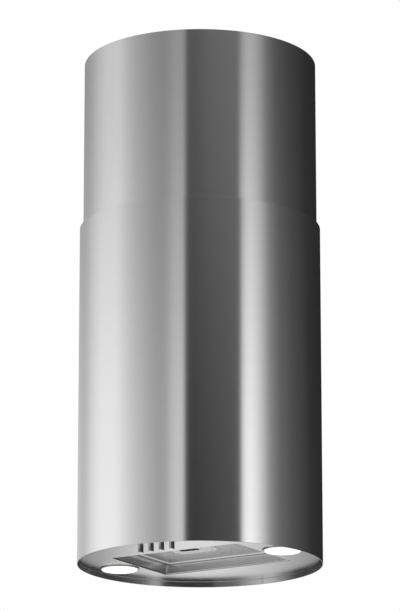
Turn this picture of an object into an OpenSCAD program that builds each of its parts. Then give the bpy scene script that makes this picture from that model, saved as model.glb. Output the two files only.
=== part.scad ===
// Cylinder island range hood: two telescopic steel tubes hung from a ceiling plate on slotted
// rails, round a drum with a twin-inlet blower. Non-return flaps close the outlet, and the
// recessed base plate carries a hinged grease filter, two lamps and four keys.
// Millimetres, +Z up. The origin is the centre of the ceiling face; the hood hangs below it.

/* [Tubes] */
// Outside diameter of the lower tube
hood_d = 350; // [340:1:380]
// Height of the lower tube
lower_h = 495; // [470:1:540]
// Distance from the ceiling to the lower rim
drop = 746; // [730:1:760]
// Radial step from the lower tube's outside to the upper tube's outside
tube_step = 5; // [4:0.5:7]
// Sheet thickness of both tubes
tube_t = 1; // [0.8:0.1:1.5]
// Length of the upper tube that is hidden in the lower one
tube_lap = 255; // [230:1:280]
// Height of the guide ring between the tubes
guide_h = 15; // [10:1:25]
// Depth of the guide ring's top edge below the lower tube's top edge
guide_drop = 3; // [2:0.5:6]

/* [Height adjustment] */
// Travel of the hood upwards from its set height
lift_up = 79; // [40:1:80]
// Travel of the hood downwards from its set height
lift_down = 195; // [150:1:200]
// Length of a lower rail
rail_len = 319; // [300:1:320]
// Length of an upper rail below the end of its slot
rail_end = 22; // [16:1:24]
// Distance of a clamp bolt from its lower rail's top end
clamp_in = 15; // [10:1:20]
// End clearance of a rail's slot beyond the clamp bolt's travel
slot_end = 4; // [3:1:6]
// Width of a rail's leg
rail_w = 20; // [18:1:24]
// Thickness of a rail
rail_t = 1.5; // [1.2:0.1:2]
// Radial gap between an upper rail's corner and the upper tube
rail_gap = 16.3; // [14:0.1:18]
// Radius of a rail bolt
bolt_r = 2.5; // [2:0.1:3]

/* [Ceiling plate] */
// Thickness of the ceiling plate
ceil_t = 2; // [1.5:0.1:3]
// Width of the square duct opening in the ceiling plate
ceil_hole_w = 170; // [160:1:172]
// Corner radius of the duct opening
ceil_hole_r = 12; // [6:1:20]
// Distance of the ceiling bolts from the inside of the upper tube
ceil_bolt_in = 29; // [24:1:32]
// Radius of a ceiling bolt hole
ceil_bolt_r = 4.25; // [3:0.05:5]
// Height of the tabs that hold the upper tube
tab_h = 18; // [14:1:24]

/* [Base plate] */
// Recess of the base plate above the lower rim
plate_rec = 8; // [7:0.5:12]
// Sheet thickness of the base plate
plate_t = 1; // [0.8:0.1:1.5]
// Outer radius of the bend at the base plate's edge
plate_bend = 3; // [2:0.5:5]
// Height of the base plate's rim flange
rim_flange_h = 20; // [18:1:22]
// Depth of the filter recess from front to back
recess_d = 147; // [140:1:154]
// Offset of the filter recess towards the back
recess_y = 3; // [0:1:14]
// Depth of the filter's face above the base plate's face
recess_deep = 14.7; // [12:0.1:16]
// Corner radius of the filter recess
recess_r = 3; // [3:0.5:8]
// Outer radius of the bend from the base plate into the recess
recess_bend = 2; // [1.5:0.1:3]
// Width of the ledge above the filter's edge
ledge_w = 8; // [6:0.5:10]

/* [Filter] */
// Thickness of the filter
filter_t = 8.5; // [8:0.1:9.5]
// Gap between the filter and the recess wall
filter_gap = 2; // [1.8:0.1:2.5]
// Width of the filter frame's face
filter_lip = 9; // [7:0.5:12]
// Sheet thickness of the filter frame
filter_sheet = 0.8; // [0.6:0.1:1]
// Length of a diamond in the filter mesh
mesh_l = 16; // [12:1:20]
// Width of a strand in the filter mesh
mesh_strand = 1.6; // [1.2:0.1:2]
// Radius of the filter's pivot pins
pivot_r = 2; // [1.5:0.1:2.5]
// Length of the handle
handle_l = 66; // [62:1:80]
// Offset of the handle from the filter's middle towards the latch
handle_x = -11; // [-14:1:2]
// Width of the handle
handle_w = 36; // [32:1:40]
// Length of the finger slot
slot_l = 32; // [28:1:34]
// Width of the finger slot
slot_w = 13; // [10:0.5:15]
// Travel of the filter latch
latch_travel = 4; // [3:0.5:5]
// Radius of the latch's thumb pad
thumb_r = 8; // [7.5:0.5:10]

/* [Lamps and keys] */
// Gap between a lamp's bezel and the base plate's edge
lamp_edge = 9.5; // [8:0.5:11]
// Gap between a lamp's bezel and the filter recess
lamp_gap = 4.3; // [4:0.1:8]
// Radius of a lamp's lens
lens_r = 26; // [24:0.5:26]
// Width of a lamp's bezel ring
bezel_w = 2.4; // [2:0.1:3]
// Distance that a lens stands below the base plate
lens_proud = 3; // [2:0.5:4]
// Number of keys
key_count = 4; // [4]
// Distance between keys
key_pitch = 17; // [14:0.5:18]
// Width of a key
key_w = 4; // [3.6:0.1:6]
// Depth of a key from front to back
key_d = 9; // [8:0.5:10]
// Distance that a key stands below the base plate
key_proud = 7.3; // [6:0.1:8]
// Travel of a key
key_travel = 3; // [2:0.5:3]
// Distance of the keys' middle from the base plate's front edge
key_in = 56; // [54:0.1:62]

/* [Blower] */
// Radial gap between the drum and the upper tube
drum_gap = 6; // [4:0.5:8]
// Height of the drum that holds the blower
drum_h = 265.5; // [262:0.5:268]
// Sheet thickness of the drum and its deck
drum_t = 1; // [0.8:0.1:1.5]
// Height of the blower's axis above the lower rim
blower_h = 165; // [155:1:175]
// Gap between the scroll and the drum
drum_clear = 8.64; // [6:0.01:12]
// Radial depth of the impeller's blades
blade_depth = 12; // [10:0.5:14]
// Width of the impeller
fan_w = 96; // [84:1:98]
// Number of blades
blades = 36; // [30:1:40]
// Thickness of a blade
blade_t = 1; // [0.8:0.1:1.4]
// Forward sweep of a blade, in degrees
blade_sweep = 14; // [8:1:18]
// Gap from the impeller to the scroll at its tongue
scroll_gap = 7.5; // [6:0.5:8]
// Angle of the scroll's tongue above the horizontal, in degrees
tongue_a = 98; // [92:1:104]
// Growth of the scroll's radius from tongue to outlet
scroll_grow = 36; // [32:1:38]
// Wall thickness of the scroll halves
scroll_t = 2.5; // [2:0.1:3]
// Inside width of the blower's outlet neck
neck_w = 96; // [90:1:98]
// Radial gap between the motor and the impeller's blades
motor_gap = 12.5; // [10:0.5:16]
// Radius of the motor's shaft
shaft_r = 4; // [3:0.1:5]

/* [Outlet collar] */
// Outside radius of the duct collar
collar_r = 75; // [72:0.5:77]
// Height of the duct collar
collar_h = 45; // [42:1:50]
// Wall thickness of the duct collar
collar_t = 1.5; // [1.3:0.1:2]
// Thickness of a non-return flap
flap_t = 1.2; // [1:0.1:1.5]
// Radius of a flap's pivot pin
flap_pin_r = 1.5; // [1.2:0.1:1.8]

/* [Clearances] */
// Radial clearance of a running fit
run_fit = 0.05; // [0.03:0.01:0.1]
// Clearance between sliding or loosely fitted pieces
gap = 0.3; // [0.25:0.05:0.4]

/* [Hidden] */
$fn = 96;

steel = "#c9cacb";
zinc = "#a9adb1";
dark = "#2c2e31";
eps = 0.01;

// Tubes
hood_r = hood_d / 2;
bore_r = hood_r - tube_t;
upper_r = hood_r - tube_step;
upper_in = upper_r - tube_t;
upper_len = drop - lower_h + tube_lap;
seam_w = 0.6;
seam_deep = 0.4;

// Base plate, with heights above the lower rim
plate_r = bore_r - gap;
plate_top = plate_rec + plate_t;
key_y = plate_r - key_in;

// Lamps
bezel_r = lens_r + gap + bezel_w;
barrel_r = lens_r + gap + 0.4;
lamp_hole_r = barrel_r + gap;
clip_lip = 2.6;
bezel_t = 1.4;
barrel_top = plate_rec + 14;
board_z = plate_rec + 6;
board_t = 1.6;
lamp_x = plate_r - lamp_edge - bezel_r;

// Recess
recess_w = 2 * (lamp_x - bezel_r - lamp_gap);
filter_z = plate_rec + recess_deep;
ledge_z = filter_z + filter_t + gap;
ledge_top = ledge_z + plate_t;
window_w = recess_w - 2 * ledge_w;
window_d = recess_d - 2 * ledge_w;
stud_r = 2;
stud_len = 10;
stud_z = plate_rec + 0.6 * rim_flange_h;
stud_angles = [45, 135, 225, 315];
nut_r = 4;
nut_h = 3.2;

// Filter
filter_w = recess_w - 2 * filter_gap;
filter_d = recess_d - 2 * filter_gap;
nose_r = filter_t / 2;
pivot_x = -filter_w / 2 + nose_r;
pivot_z = filter_z + nose_r;
pivot_len = recess_d + 2 * plate_t + 2 * gap;
mesh_t = 0.8;
mesh_z = filter_sheet;
pad_z = mesh_z + mesh_t;
pad_t = filter_t - filter_sheet - pad_z;
field_x0 = pivot_x + nose_r / 2;
field_x1 = filter_w / 2 - filter_sheet - gap;
field_d = filter_d - 2 * filter_sheet - 2 * gap;
handle_step = 2;
handle_top = filter_t - filter_sheet;
thumb_x = handle_x + handle_l / 2 - handle_step - thumb_r - 2 * gap - 1;
slot_x = thumb_x - thumb_r - latch_travel - 2 - slot_l;
pocket_top = handle_top - 1.2;
rod_r = 1.5;
latch_w = 10;
latch_hh = 2;
latch_out = filter_gap - 0.4;
nose_len = 8;
spring_r = 2;
wire_r = 0.35;
spring_x0 = handle_x + handle_l / 2 - handle_step + wire_r + 0.05;
spring_len = 12;
spring_turns = 6;
keeper_t = 0.5;
keeper_w = 10;
keeper_h = 3;
keeper_top = pivot_z - latch_hh - gap;

// Keys
key_top = plate_rec + 10;
flange_z = plate_top + 1;
flange_t = 2;
flange_w = 2;
housing_h = 20;
housing_w = (key_count - 1) * key_pitch + key_w + 20;
housing_d = key_d + 13;

// Drum and blower
drum_r = upper_in - drum_gap;
deck_z = ledge_top + drum_h;
deck_t = 2 * drum_t;
deck_top = deck_z + deck_t;
drum_lip = 10;
side_gap = 6;
scroll_hw = fan_w / 2 + side_gap;
scroll_out = scroll_hw + scroll_t;
scroll_steps = 28;
// The scroll spans from the neck's left wall to the drum, less its clearance, at its side walls
drum_reach = sqrt(pow(drum_r - drum_t, 2) - pow(scroll_out, 2)) - drum_clear;
side_grow = scroll_grow * (1 + tongue_a / (tongue_a + 180));
tongue_r = (drum_reach - scroll_t + neck_w / 2 - side_grow) / 2;
fan_r = tongue_r - scroll_gap;
scroll_end = tongue_r + scroll_grow;
blower_x = scroll_end - neck_w / 2;
neck_t = 1.5;
neck_len = 57;
neck_lap = 7;
neck_flange = 8;
neck_in_w = neck_w + 2 * scroll_t + 2 * run_fit;
neck_in_d = 2 * scroll_out + 2 * run_fit;
neck_z = deck_z - neck_len;
join_lip = 4;
join_t = 3;
inlet_r = fan_r - blade_depth + 1.5;
bell_r = 8;
bell_t = 1.5;
bell_flange = 12;
bracket_gap = 4;
motor_r = fan_r - blade_depth - motor_gap;
motor_y = 8;
motor_len = scroll_out + bell_t + bell_r + bracket_gap - motor_y;
bracket_y = motor_y + motor_len;
bracket_t = 2;
arm_w = 14;
bush_r = 5;
bush_circle = inlet_r + bell_flange + bush_r + 2;
arm_angles = [0, 120, 240];
hub_r = 12;
shaft_in = 20;

// Outlet collar and flaps
collar_in = collar_r - collar_t;
collar_flange = 15;
seat_z = deck_top + 21;
seat_t = 2;
flap_z = seat_z + seat_t + gap;
flap_r = collar_in - 0.8;
flap_x = flap_pin_r + 3;
flap_pin_len = 2 * sqrt(pow(collar_r, 2) - pow(flap_x, 2)) - 1;
bar_w = 2.8;

// Rails and ceiling plate
rail_x = (upper_in - rail_gap) / sqrt(2);
rail_in = rail_x - rail_t - gap - 0.1;
clamp_z = deck_top + rail_len - clamp_in - drop;
slot_lo = -ceil_t - clamp_z - lift_up - slot_end;
slot_hi = -ceil_t - clamp_z + lift_down + slot_end;
upper_rail_len = slot_hi + rail_end;
ceil_r = upper_in - 0.5;
ceil_pcd = 2 * (upper_in - ceil_bolt_in);
ceil_lip = 8;
tab_w = 20;
tab_angles = [60, 120, 240, 300];
tab_face = sqrt(pow(ceil_r, 2) - pow(tab_w / 2, 2)) - 0.5;
tube_screw_z = -ceil_t - tab_h * 0.55;
tube_screw_angles = [60, 120];
tube_screw_r = 2;

// Control box on the deck
box_d = 90;
box_h = 40;
box_t = 2;
box_gap = 5;
box_x = -sqrt(pow(drum_r, 2) - pow(box_d / 2, 2)) + box_gap;
box_w = -box_x - collar_r - collar_flange - box_gap;
inner_w = box_w - 2 * box_t;
inner_d = box_d - 2 * box_t;
terminal_d = 14;
terminal_h = 14;
terminal_in = 10;
board_gap = 2;
board_d = inner_d - terminal_d - terminal_in - 3 * board_gap;
standoff_h = 6;
gland_r = 8;
gland_out = 10;
cap_r = 14;
cap_len = 60;
cap_edge = 37;

module hood() {
    translate([0, 0, -drop]) children();
}

// Rectangle with round corners, centred
module rrect(w, d, r) {
    square([w - 2 * r, d], center = true);
    square([w, d - 2 * r], center = true);
    for (x = [-1, 1], y = [-1, 1]) translate([x * (w / 2 - r), y * (d / 2 - r)]) circle(r);
}

// Long outline with two round ends, along X
module stadium(l, w) {
    square([l - w, w], center = true);
    for (x = [-1, 1]) translate([x * (l - w) / 2, 0]) circle(d = w);
}

module ring(r_out, r_in, h) {
    difference() {
        cylinder(r = r_out, h = h);
        translate([0, 0, -1]) cylinder(r = r_in, h = h + 2);
    }
}

// Screw along -Z with a pan head above the origin and a round shank below it
module screw(r, length, head_r, head_h) {
    translate([0, 0, -length]) cylinder(r = r, h = length + head_h / 2);
    cylinder(r = head_r, h = head_h);
    translate([0, 0, head_h]) cylinder(r = head_r * 0.6, h = head_h * 0.3);
}

module nut(r, h) {
    cylinder(r = r, h = h, $fn = 6);
}

// ---- Ceiling side ----

module ceiling_plate() {
    color(zinc) {
        difference() {
            union() {
                translate([0, 0, -ceil_t]) cylinder(r = ceil_r, h = ceil_t);
                // Stiffening lip round the duct opening
                translate([0, 0, -ceil_t - ceil_lip]) linear_extrude(ceil_lip + 1)
                    rrect(ceil_hole_w + 2 * ceil_t, ceil_hole_w + 2 * ceil_t, ceil_hole_r + ceil_t);
                for (a = tab_angles) rotate([0, 0, a])
                    translate([tab_face - ceil_t, -tab_w / 2, -ceil_t - tab_h])
                        cube([ceil_t, tab_w, tab_h + 1]);
            }
            translate([0, 0, -ceil_t - ceil_lip - 1]) linear_extrude(ceil_lip + 2 * ceil_t + 2)
                rrect(ceil_hole_w, ceil_hole_w, ceil_hole_r);
            for (a = [0:90:270]) rotate([0, 0, a]) translate([ceil_pcd / 2, 0, -5])
                cylinder(r = ceil_bolt_r, h = 10);
            for (a = tube_screw_angles) rotate([0, 0, a]) translate([tab_face - 5, 0, tube_screw_z])
                rotate([0, 90, 0]) cylinder(r = tube_screw_r + 0.1, h = 10);
            for (x = [-1, 1], y = [-1, 1]) translate([x * rail_bolt_at(rail_x), y * rail_bolt_at(rail_x), -5])
                cylinder(r = bolt_r + 0.2, h = 10);
        }
    }
}

function rail_bolt_at(outer) = outer - rail_w / 2 - 1;

// One angle rail with its corner at the origin, legs along -X and -Y, and a foot at its low end.
// Its slots lie a given distance in from the corner.
module rail(length, slot_in, slot_lo, slot_hi) {
    difference() {
        union() {
            translate([-rail_t, -rail_w, 0]) cube([rail_t, rail_w, length]);
            translate([-rail_w, -rail_t, 0]) cube([rail_w, rail_t, length]);
            translate([-rail_w, -rail_w, 0]) cube([rail_w, rail_w, rail_t]);
        }
        for (flip = [0, 1]) mirror([flip, -flip, 0]) translate([-rail_t - 1, -slot_in, 0])
            rotate([0, 90, 0]) slot_cut(slot_lo, slot_hi, rail_t + 2);
        translate([-rail_w / 2 - 1, -rail_w / 2 - 1, -1]) cylinder(r = bolt_r + 0.2, h = rail_t + 2);
    }
}

// Slot with round ends from one height to another, cut along the local +Z
module slot_cut(lo, hi, deep) {
    r = bolt_r + 0.5;
    for (z = [lo, hi]) translate([-z, 0, 0]) cylinder(r = r, h = deep);
    if (hi > lo) translate([-hi, -r, 0]) cube([hi - lo, 2 * r, deep]);
}

module corner(i) {
    rotate([0, 0, 90 * (i - 1)]) children();
}

module upper_rail(i) {
    color(zinc) corner(i) translate([rail_x, rail_x, -ceil_t]) mirror([0, 0, 1])
        rail(upper_rail_len, rail_x - rail_in + rail_w / 2, slot_lo, slot_hi);
}

module lower_rail(i) {
    color(zinc) corner(i) hood() translate([rail_in, rail_in, deck_top])
        rail(rail_len, rail_w / 2, rail_len - clamp_in, rail_len - clamp_in);
}

module rail_head_bolts() {
    color(zinc) for (i = [1:4]) corner(i)
        translate([rail_bolt_at(rail_x), rail_bolt_at(rail_x), -ceil_t - rail_t]) mirror([0, 0, 1])
            screw(bolt_r, ceil_t + rail_t, 2 * bolt_r, 3);
}

module rail_bolts() {
    color(zinc) hood() for (i = [1:4]) corner(i) {
        translate([rail_bolt_at(rail_in), rail_bolt_at(rail_in), deck_top + rail_t])
            screw(bolt_r, deck_t + rail_t, 2 * bolt_r, 3);
        translate([rail_x + gap, rail_in - rail_w / 2, clamp_z + drop]) rotate([0, 90, 0]) {
            screw(bolt_r, rail_t * 2 + 2 * gap + 4, 2 * bolt_r, 3);
            translate([0, 0, -rail_t * 2 - 2 * gap - 0.1 - nut_h]) nut(2 * bolt_r, nut_h);
        }
    }
}

module tube(r, h) {
    difference() {
        ring(r, r - tube_t, h);
        // Rolled seam at the back
        translate([-seam_w / 2, r - seam_deep, -1]) cube([seam_w, 2, h + 2]);
    }
}

module upper_tube() {
    color(steel) difference() {
        translate([0, 0, -upper_len]) tube(upper_r, upper_len);
        for (a = tube_screw_angles) rotate([0, 0, a]) translate([upper_in - 3, 0, tube_screw_z])
            rotate([0, 90, 0]) cylinder(r = tube_screw_r + 0.1, h = 10);
    }
}

module upper_tube_screws() {
    color(zinc) for (a = tube_screw_angles) rotate([0, 0, a]) translate([upper_r, 0, tube_screw_z])
        rotate([0, 90, 0]) screw(tube_screw_r, upper_r - tab_face + ceil_t + 3, 4, 1.8);
}

// ---- Hood body ----

module lower_tube() {
    color(steel) hood() {
        tube(hood_r, lower_h);
        // Welded studs that hold the base plate
        for (a = stud_angles) rotate([0, 0, a]) translate([bore_r - stud_len, 0, stud_z])
            rotate([0, 90, 0]) cylinder(r = stud_r, h = stud_len + tube_t / 2);
    }
}

module guide_ring() {
    color(dark) hood() translate([0, 0, lower_h - guide_drop - guide_h]) {
        ring(bore_r, upper_r + gap + 0.1, guide_h);
    }
}

// Half section of the base plate's disc, with its bend and rim flange
module plate_profile() {
    c = plate_r - plate_bend;
    translate([0, plate_rec]) square([c, plate_t]);
    translate([plate_r - plate_t, plate_rec + plate_bend]) square([plate_t, rim_flange_h - plate_bend]);
    translate([c, plate_rec + plate_bend]) intersection() {
        difference() {
            circle(plate_bend);
            circle(plate_bend - plate_t);
        }
        translate([0, -plate_bend]) square(plate_bend);
    }
}

module recess_outline(grow) {
    translate([0, recess_y]) rrect(recess_w + 2 * grow, recess_d + 2 * grow, recess_r + grow);
}

function key_x(i) = (i - (key_count + 1) / 2) * key_pitch;

// Quarter-round bend from the base plate's face up into the recess wall
module bend_section() {
    intersection() {
        difference() {
            circle(recess_bend);
            circle(recess_bend - plate_t);
        }
        translate([-recess_bend, -recess_bend]) square(recess_bend);
    }
}

module recess_bends() {
    half = [recess_w / 2 - recess_r, recess_d / 2 - recess_r];
    translate([0, recess_y, plate_rec + recess_bend]) for (x = [-1, 1], y = [-1, 1])
        mirror([(1 - x) / 2, 0, 0]) mirror([0, (1 - y) / 2, 0]) {
            translate([half[0], half[1], 0]) rotate_extrude(angle = 90)
                translate([recess_r + recess_bend, 0]) bend_section();
            translate([half[0] + recess_r + recess_bend, half[1], 0]) rotate([90, 0, 0])
                linear_extrude(half[1]) bend_section();
            translate([0, half[1] + recess_r + recess_bend, 0]) rotate([90, 0, 90])
                linear_extrude(half[0]) bend_section();
        }
}

module base_plate() {
    wall_z = plate_rec + recess_bend;
    color(steel) hood() difference() {
        union() {
            difference() {
                rotate_extrude() plate_profile();
                translate([0, 0, plate_rec - 1]) linear_extrude(plate_t + 2) recess_outline(recess_bend);
            }
            recess_bends();
            translate([0, 0, wall_z]) linear_extrude(ledge_z - wall_z) difference() {
                recess_outline(plate_t);
                recess_outline(0);
            }
            translate([0, 0, ledge_z]) linear_extrude(plate_t) recess_outline(plate_t);
        }
        // Window in the ledge above the filter
        translate([0, recess_y, ledge_z - 1]) linear_extrude(plate_t + 2)
            square([window_w, window_d], center = true);
        // Pivot holes and the keeper's window
        translate([pivot_x, recess_y + recess_d / 2 + 2 * plate_t, pivot_z]) rotate([90, 0, 0])
            cylinder(r = pivot_r + run_fit, h = recess_d + 4 * plate_t);
        translate([recess_w / 2 - 1, recess_y - keeper_w / 2 - gap, keeper_top - keeper_h - gap])
            cube([plate_t + 2, keeper_w + 2 * gap, keeper_h + 2 * gap]);
        for (x = [-1, 1]) translate([x * lamp_x, 0, plate_rec - 1]) cylinder(r = lamp_hole_r, h = 4);
        for (i = [1:key_count]) translate([key_x(i), -key_y, plate_rec - 1])
            linear_extrude(4) rrect(key_w + 2 * gap, key_d + 2 * gap, 1 + gap);
        for (a = stud_angles) rotate([0, 0, a]) translate([plate_r - 4, 0, stud_z])
            rotate([0, 90, 0]) cylinder(r = stud_r + gap, h = 8);
        for (p = ledge_screws()) translate([p[0], p[1], ledge_z - 1]) cylinder(r = 1.7, h = 4);
    }
}

function ledge_screws() = [for (x = [-1, 1], y = [-1, 1])
    [x * (window_w / 2 - 25), recess_y + y * (recess_d + window_d) / 4]];

module stud_nuts() {
    // The nut's flat face meets the round flange along its two sides
    nut_seat = sqrt(pow(plate_r - plate_t, 2) - pow(nut_r, 2)) - run_fit;
    color(zinc) hood() for (a = stud_angles) rotate([0, 0, a])
        translate([nut_seat - nut_h, 0, stud_z]) rotate([0, 90, 0]) difference() {
            nut(nut_r, nut_h);
            translate([0, 0, -1]) cylinder(r = stud_r + run_fit, h = nut_h + 2);
        }
}

module inner_casing() {
    color(zinc) hood() translate([0, 0, ledge_top]) difference() {
        union() {
            ring(drum_r, drum_r - drum_t, drum_h);
            cylinder(r = drum_r, h = drum_t);
            translate([0, 0, drum_h - drum_t]) ring(drum_r, drum_r - drum_lip, drum_t);
        }
        translate([0, recess_y, -1]) linear_extrude(drum_t + 2)
            square([window_w, window_d], center = true);
        for (p = ledge_screws()) translate([p[0], p[1], -1]) cylinder(r = 1.5, h = drum_t + 2);
        for (p = deck_screws()) translate([p[0], p[1], drum_h - 3]) cylinder(r = 1.5, h = 4);
    }
}

function deck_screws() = [for (a = [20, 160, 200, 340])
    [(drum_r - drum_lip / 2) * cos(a), (drum_r - drum_lip / 2) * sin(a)]];
function neck_screws() = [for (x = [-1, 1], y = [-1, 1])
    [x * (neck_in_w / 2 + neck_t + neck_flange / 2), y * (scroll_out - 12)]];
function collar_screws() = [for (a = [60, 120, 240, 300])
    [(collar_r + collar_flange / 2) * cos(a), (collar_r + collar_flange / 2) * sin(a)]];

module casing_deck() {
    color(zinc) hood() translate([0, 0, deck_z]) difference() {
        cylinder(r = drum_r, h = deck_t);
        translate([0, 0, -1]) linear_extrude(deck_t + 2) square([neck_in_w, neck_in_d], center = true);
        for (p = concat(deck_screws(), neck_screws(), collar_screws()))
            translate([p[0], p[1], -1]) cylinder(r = 1.7, h = deck_t + 2);
        for (i = [1:4]) corner(i) translate([rail_bolt_at(rail_in), rail_bolt_at(rail_in), -1])
            cylinder(r = bolt_r + 0.2, h = deck_t + 2);
    }
}

module casing_screws() {
    color(zinc) hood() {
        for (p = ledge_screws()) translate([p[0], p[1], ledge_top + drum_t])
            screw(1.4, drum_t + plate_t, 2.6, 1.4);
        for (p = deck_screws()) translate([p[0], p[1], deck_top]) screw(1.4, deck_t + drum_t + 3, 2.8, 1.6);
        for (p = collar_screws()) translate([p[0], p[1], deck_top + 2]) screw(1.4, deck_t + 5, 2.8, 1.6);
        for (p = neck_screws()) translate([p[0], p[1], deck_z - neck_t]) mirror([0, 0, 1])
            screw(1.4, neck_t + deck_t, 2.8, 1.6);
    }
}

// ---- Blower ----

module at_blower() {
    hood() translate([blower_x, 0, blower_h]) rotate([90, 0, 0]) children();
}

function scroll_radius(a) = tongue_r + scroll_grow * (tongue_a - a) / (tongue_a + 180);
neck_top = neck_z + neck_lap - blower_h;

// Scroll outline seen along the axis: a spiral from the tongue to the neck, grown outwards
module scroll_outline(grow, top) {
    polygon(concat(
        [for (i = [0:scroll_steps]) let (a = tongue_a - i * (tongue_a + 180) / scroll_steps)
            (scroll_radius(a) + grow) * [cos(a), sin(a)]],
        [[-scroll_end - grow, top], [neck_w / 2 - blower_x + grow, top]]));
}

// One half of the scroll, from the joint at local z 0 outwards along local +Z
module scroll_half() {
    difference() {
        union() {
            linear_extrude(scroll_out) scroll_outline(scroll_t, neck_top);
            linear_extrude(join_t) scroll_outline(scroll_t + join_lip, neck_top - 3 * neck_lap);
        }
        translate([0, 0, -1]) linear_extrude(scroll_hw + 1) scroll_outline(0, neck_top + 1);
        translate([0, 0, scroll_hw - 1]) cylinder(r = inlet_r + bell_t, h = scroll_t + 2);
        for (a = arm_angles) rotate([0, 0, a]) translate([bush_circle, 0, scroll_hw - 1])
            cylinder(r = stud_r + gap, h = scroll_t + 2);
    }
}

// Sleeve that leads the air from the scroll's neck to the deck, and slips over the neck
module blower_neck() {
    out_w = neck_in_w + 2 * neck_t;
    out_d = neck_in_d + 2 * neck_t;
    color(zinc) hood() difference() {
        union() {
            translate([-out_w / 2, -out_d / 2, neck_z]) cube([out_w, out_d, neck_len]);
            translate([-out_w / 2 - neck_flange, -out_d / 2, deck_z - neck_t])
                cube([out_w + 2 * neck_flange, out_d, neck_t]);
        }
        translate([-neck_in_w / 2, -neck_in_d / 2, neck_z - 1]) cube([neck_in_w, neck_in_d, neck_len + 2]);
        for (p = neck_screws()) translate([p[0], p[1], deck_z - neck_t - 1])
            cylinder(r = 1.5, h = neck_t + 2);
    }
}

module scroll_front() {
    color("#3b3e42") at_blower() scroll_half();
}

module scroll_rear() {
    color("#3b3e42") at_blower() mirror([0, 0, 1]) scroll_half();
}

// Bell mouth that leads air into the scroll, standing on the side wall
module inlet_ring() {
    translate([0, 0, scroll_out]) rotate_extrude() {
        translate([inlet_r, 0]) square([bell_flange, bell_t]);
        translate([inlet_r, -scroll_t]) square([bell_t - gap, scroll_t + bell_t]);
        translate([inlet_r + bell_r + bell_t, bell_t]) intersection() {
            difference() {
                circle(bell_r + bell_t);
                circle(bell_r);
            }
            translate([-bell_r - bell_t, 0]) square(bell_r + bell_t);
        }
    }
}

module inlet_ring_front() {
    color("#4a4e53") at_blower() inlet_ring();
}

module inlet_ring_rear() {
    color("#4a4e53") at_blower() mirror([0, 0, 1]) inlet_ring();
}

// Local frame of the motor side: +Z runs to the back from the blower's middle plane
module at_motor() {
    at_blower() mirror([0, 0, 1]) children();
}

module motor() {
    color("#8f9498") at_motor() difference() {
        union() {
            translate([0, 0, motor_y + 6]) cylinder(r = motor_r, h = motor_len - 12);
            translate([0, 0, motor_y]) cylinder(r1 = motor_r * 0.7, r2 = motor_r - 1, h = 6 + eps);
            translate([0, 0, motor_y + motor_len - 6 - eps])
                cylinder(r1 = motor_r - 1, r2 = motor_r * 0.7, h = 6 + eps);
            // Lamination stack, standing proud of the end bells
            translate([0, 0, motor_y + motor_len * 0.35]) cylinder(r = motor_r + 1.5, h = motor_len * 0.3);
        }
        translate([0, 0, motor_y - 1]) cylinder(r = shaft_r + run_fit, h = shaft_in + 2.5);
    }
}

module motor_bracket() {
    color(zinc) at_motor() translate([0, 0, bracket_y]) difference() {
        union() {
            cylinder(r = motor_r * 0.7, h = bracket_t);
            for (a = arm_angles) rotate([0, 0, -a]) translate([0, -arm_w / 2, 0])
                cube([bush_circle, arm_w, bracket_t]);
            for (a = arm_angles) rotate([0, 0, -a]) translate([bush_circle, 0, 0])
                cylinder(r = arm_w / 2, h = bracket_t);
        }
        translate([0, 0, -1]) cylinder(r = 8, h = bracket_t + 2);
        for (a = arm_angles) rotate([0, 0, -a]) translate([bush_circle, 0, -1])
            cylinder(r = stud_r + run_fit, h = bracket_t + 2);
    }
}

module motor_bushes() {
    color("#1d1e20") at_motor() for (a = arm_angles) rotate([0, 0, -a])
        translate([bush_circle, 0, scroll_out]) difference() {
            ring(bush_r, stud_r + run_fit, bracket_y - scroll_out);
            // Waist of the bush
            translate([0, 0, (bracket_y - scroll_out) * 0.35]) difference() {
                cylinder(r = bush_r + 1, h = (bracket_y - scroll_out) * 0.3);
                translate([0, 0, -1]) cylinder(r = bush_r - 1, h = bracket_y);
            }
        }
}

module motor_bolts() {
    color(zinc) at_motor() for (a = arm_angles) rotate([0, 0, -a])
        translate([bush_circle, 0, bracket_y + bracket_t])
            screw(stud_r, bracket_y + bracket_t - scroll_hw, 2 * stud_r, 3);
}

function blade_point(t, side) = let (
    r = fan_r - 0.5 - blade_depth * (1 - t),
    a = blade_sweep * pow(t, 2) + side * asin(blade_t / r) / 2) r * [cos(a), sin(a)];

module blade() {
    steps = 4;
    polygon(concat([for (i = [0:steps]) blade_point(i / steps, -1)],
        [for (i = [steps:-1:0]) blade_point(i / steps, 1)]));
}

module impeller() {
    end_ring = 3;
    color("#55595e") at_blower() difference() {
        union() {
            translate([0, 0, -fan_w / 2]) linear_extrude(fan_w)
                for (i = [0:blades - 1]) rotate([0, 0, i * 360 / blades]) blade();
            for (z = [-fan_w / 2, fan_w / 2 - end_ring]) translate([0, 0, z])
                ring(fan_r, fan_r - 4, end_ring);
            translate([0, 0, -1]) cylinder(r = fan_r - 2, h = 2);
            translate([0, 0, -4]) cylinder(r1 = hub_r, r2 = hub_r - 2, h = 18);
        }
        translate([0, 0, -6]) cylinder(r = shaft_r, h = 30);
    }
}

module impeller_shaft() {
    color("#c3c6c9") at_blower() translate([0, 0, -motor_y - shaft_in])
        cylinder(r = shaft_r, h = motor_y + shaft_in + 16);
}

// ---- Outlet collar and flaps ----

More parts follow.
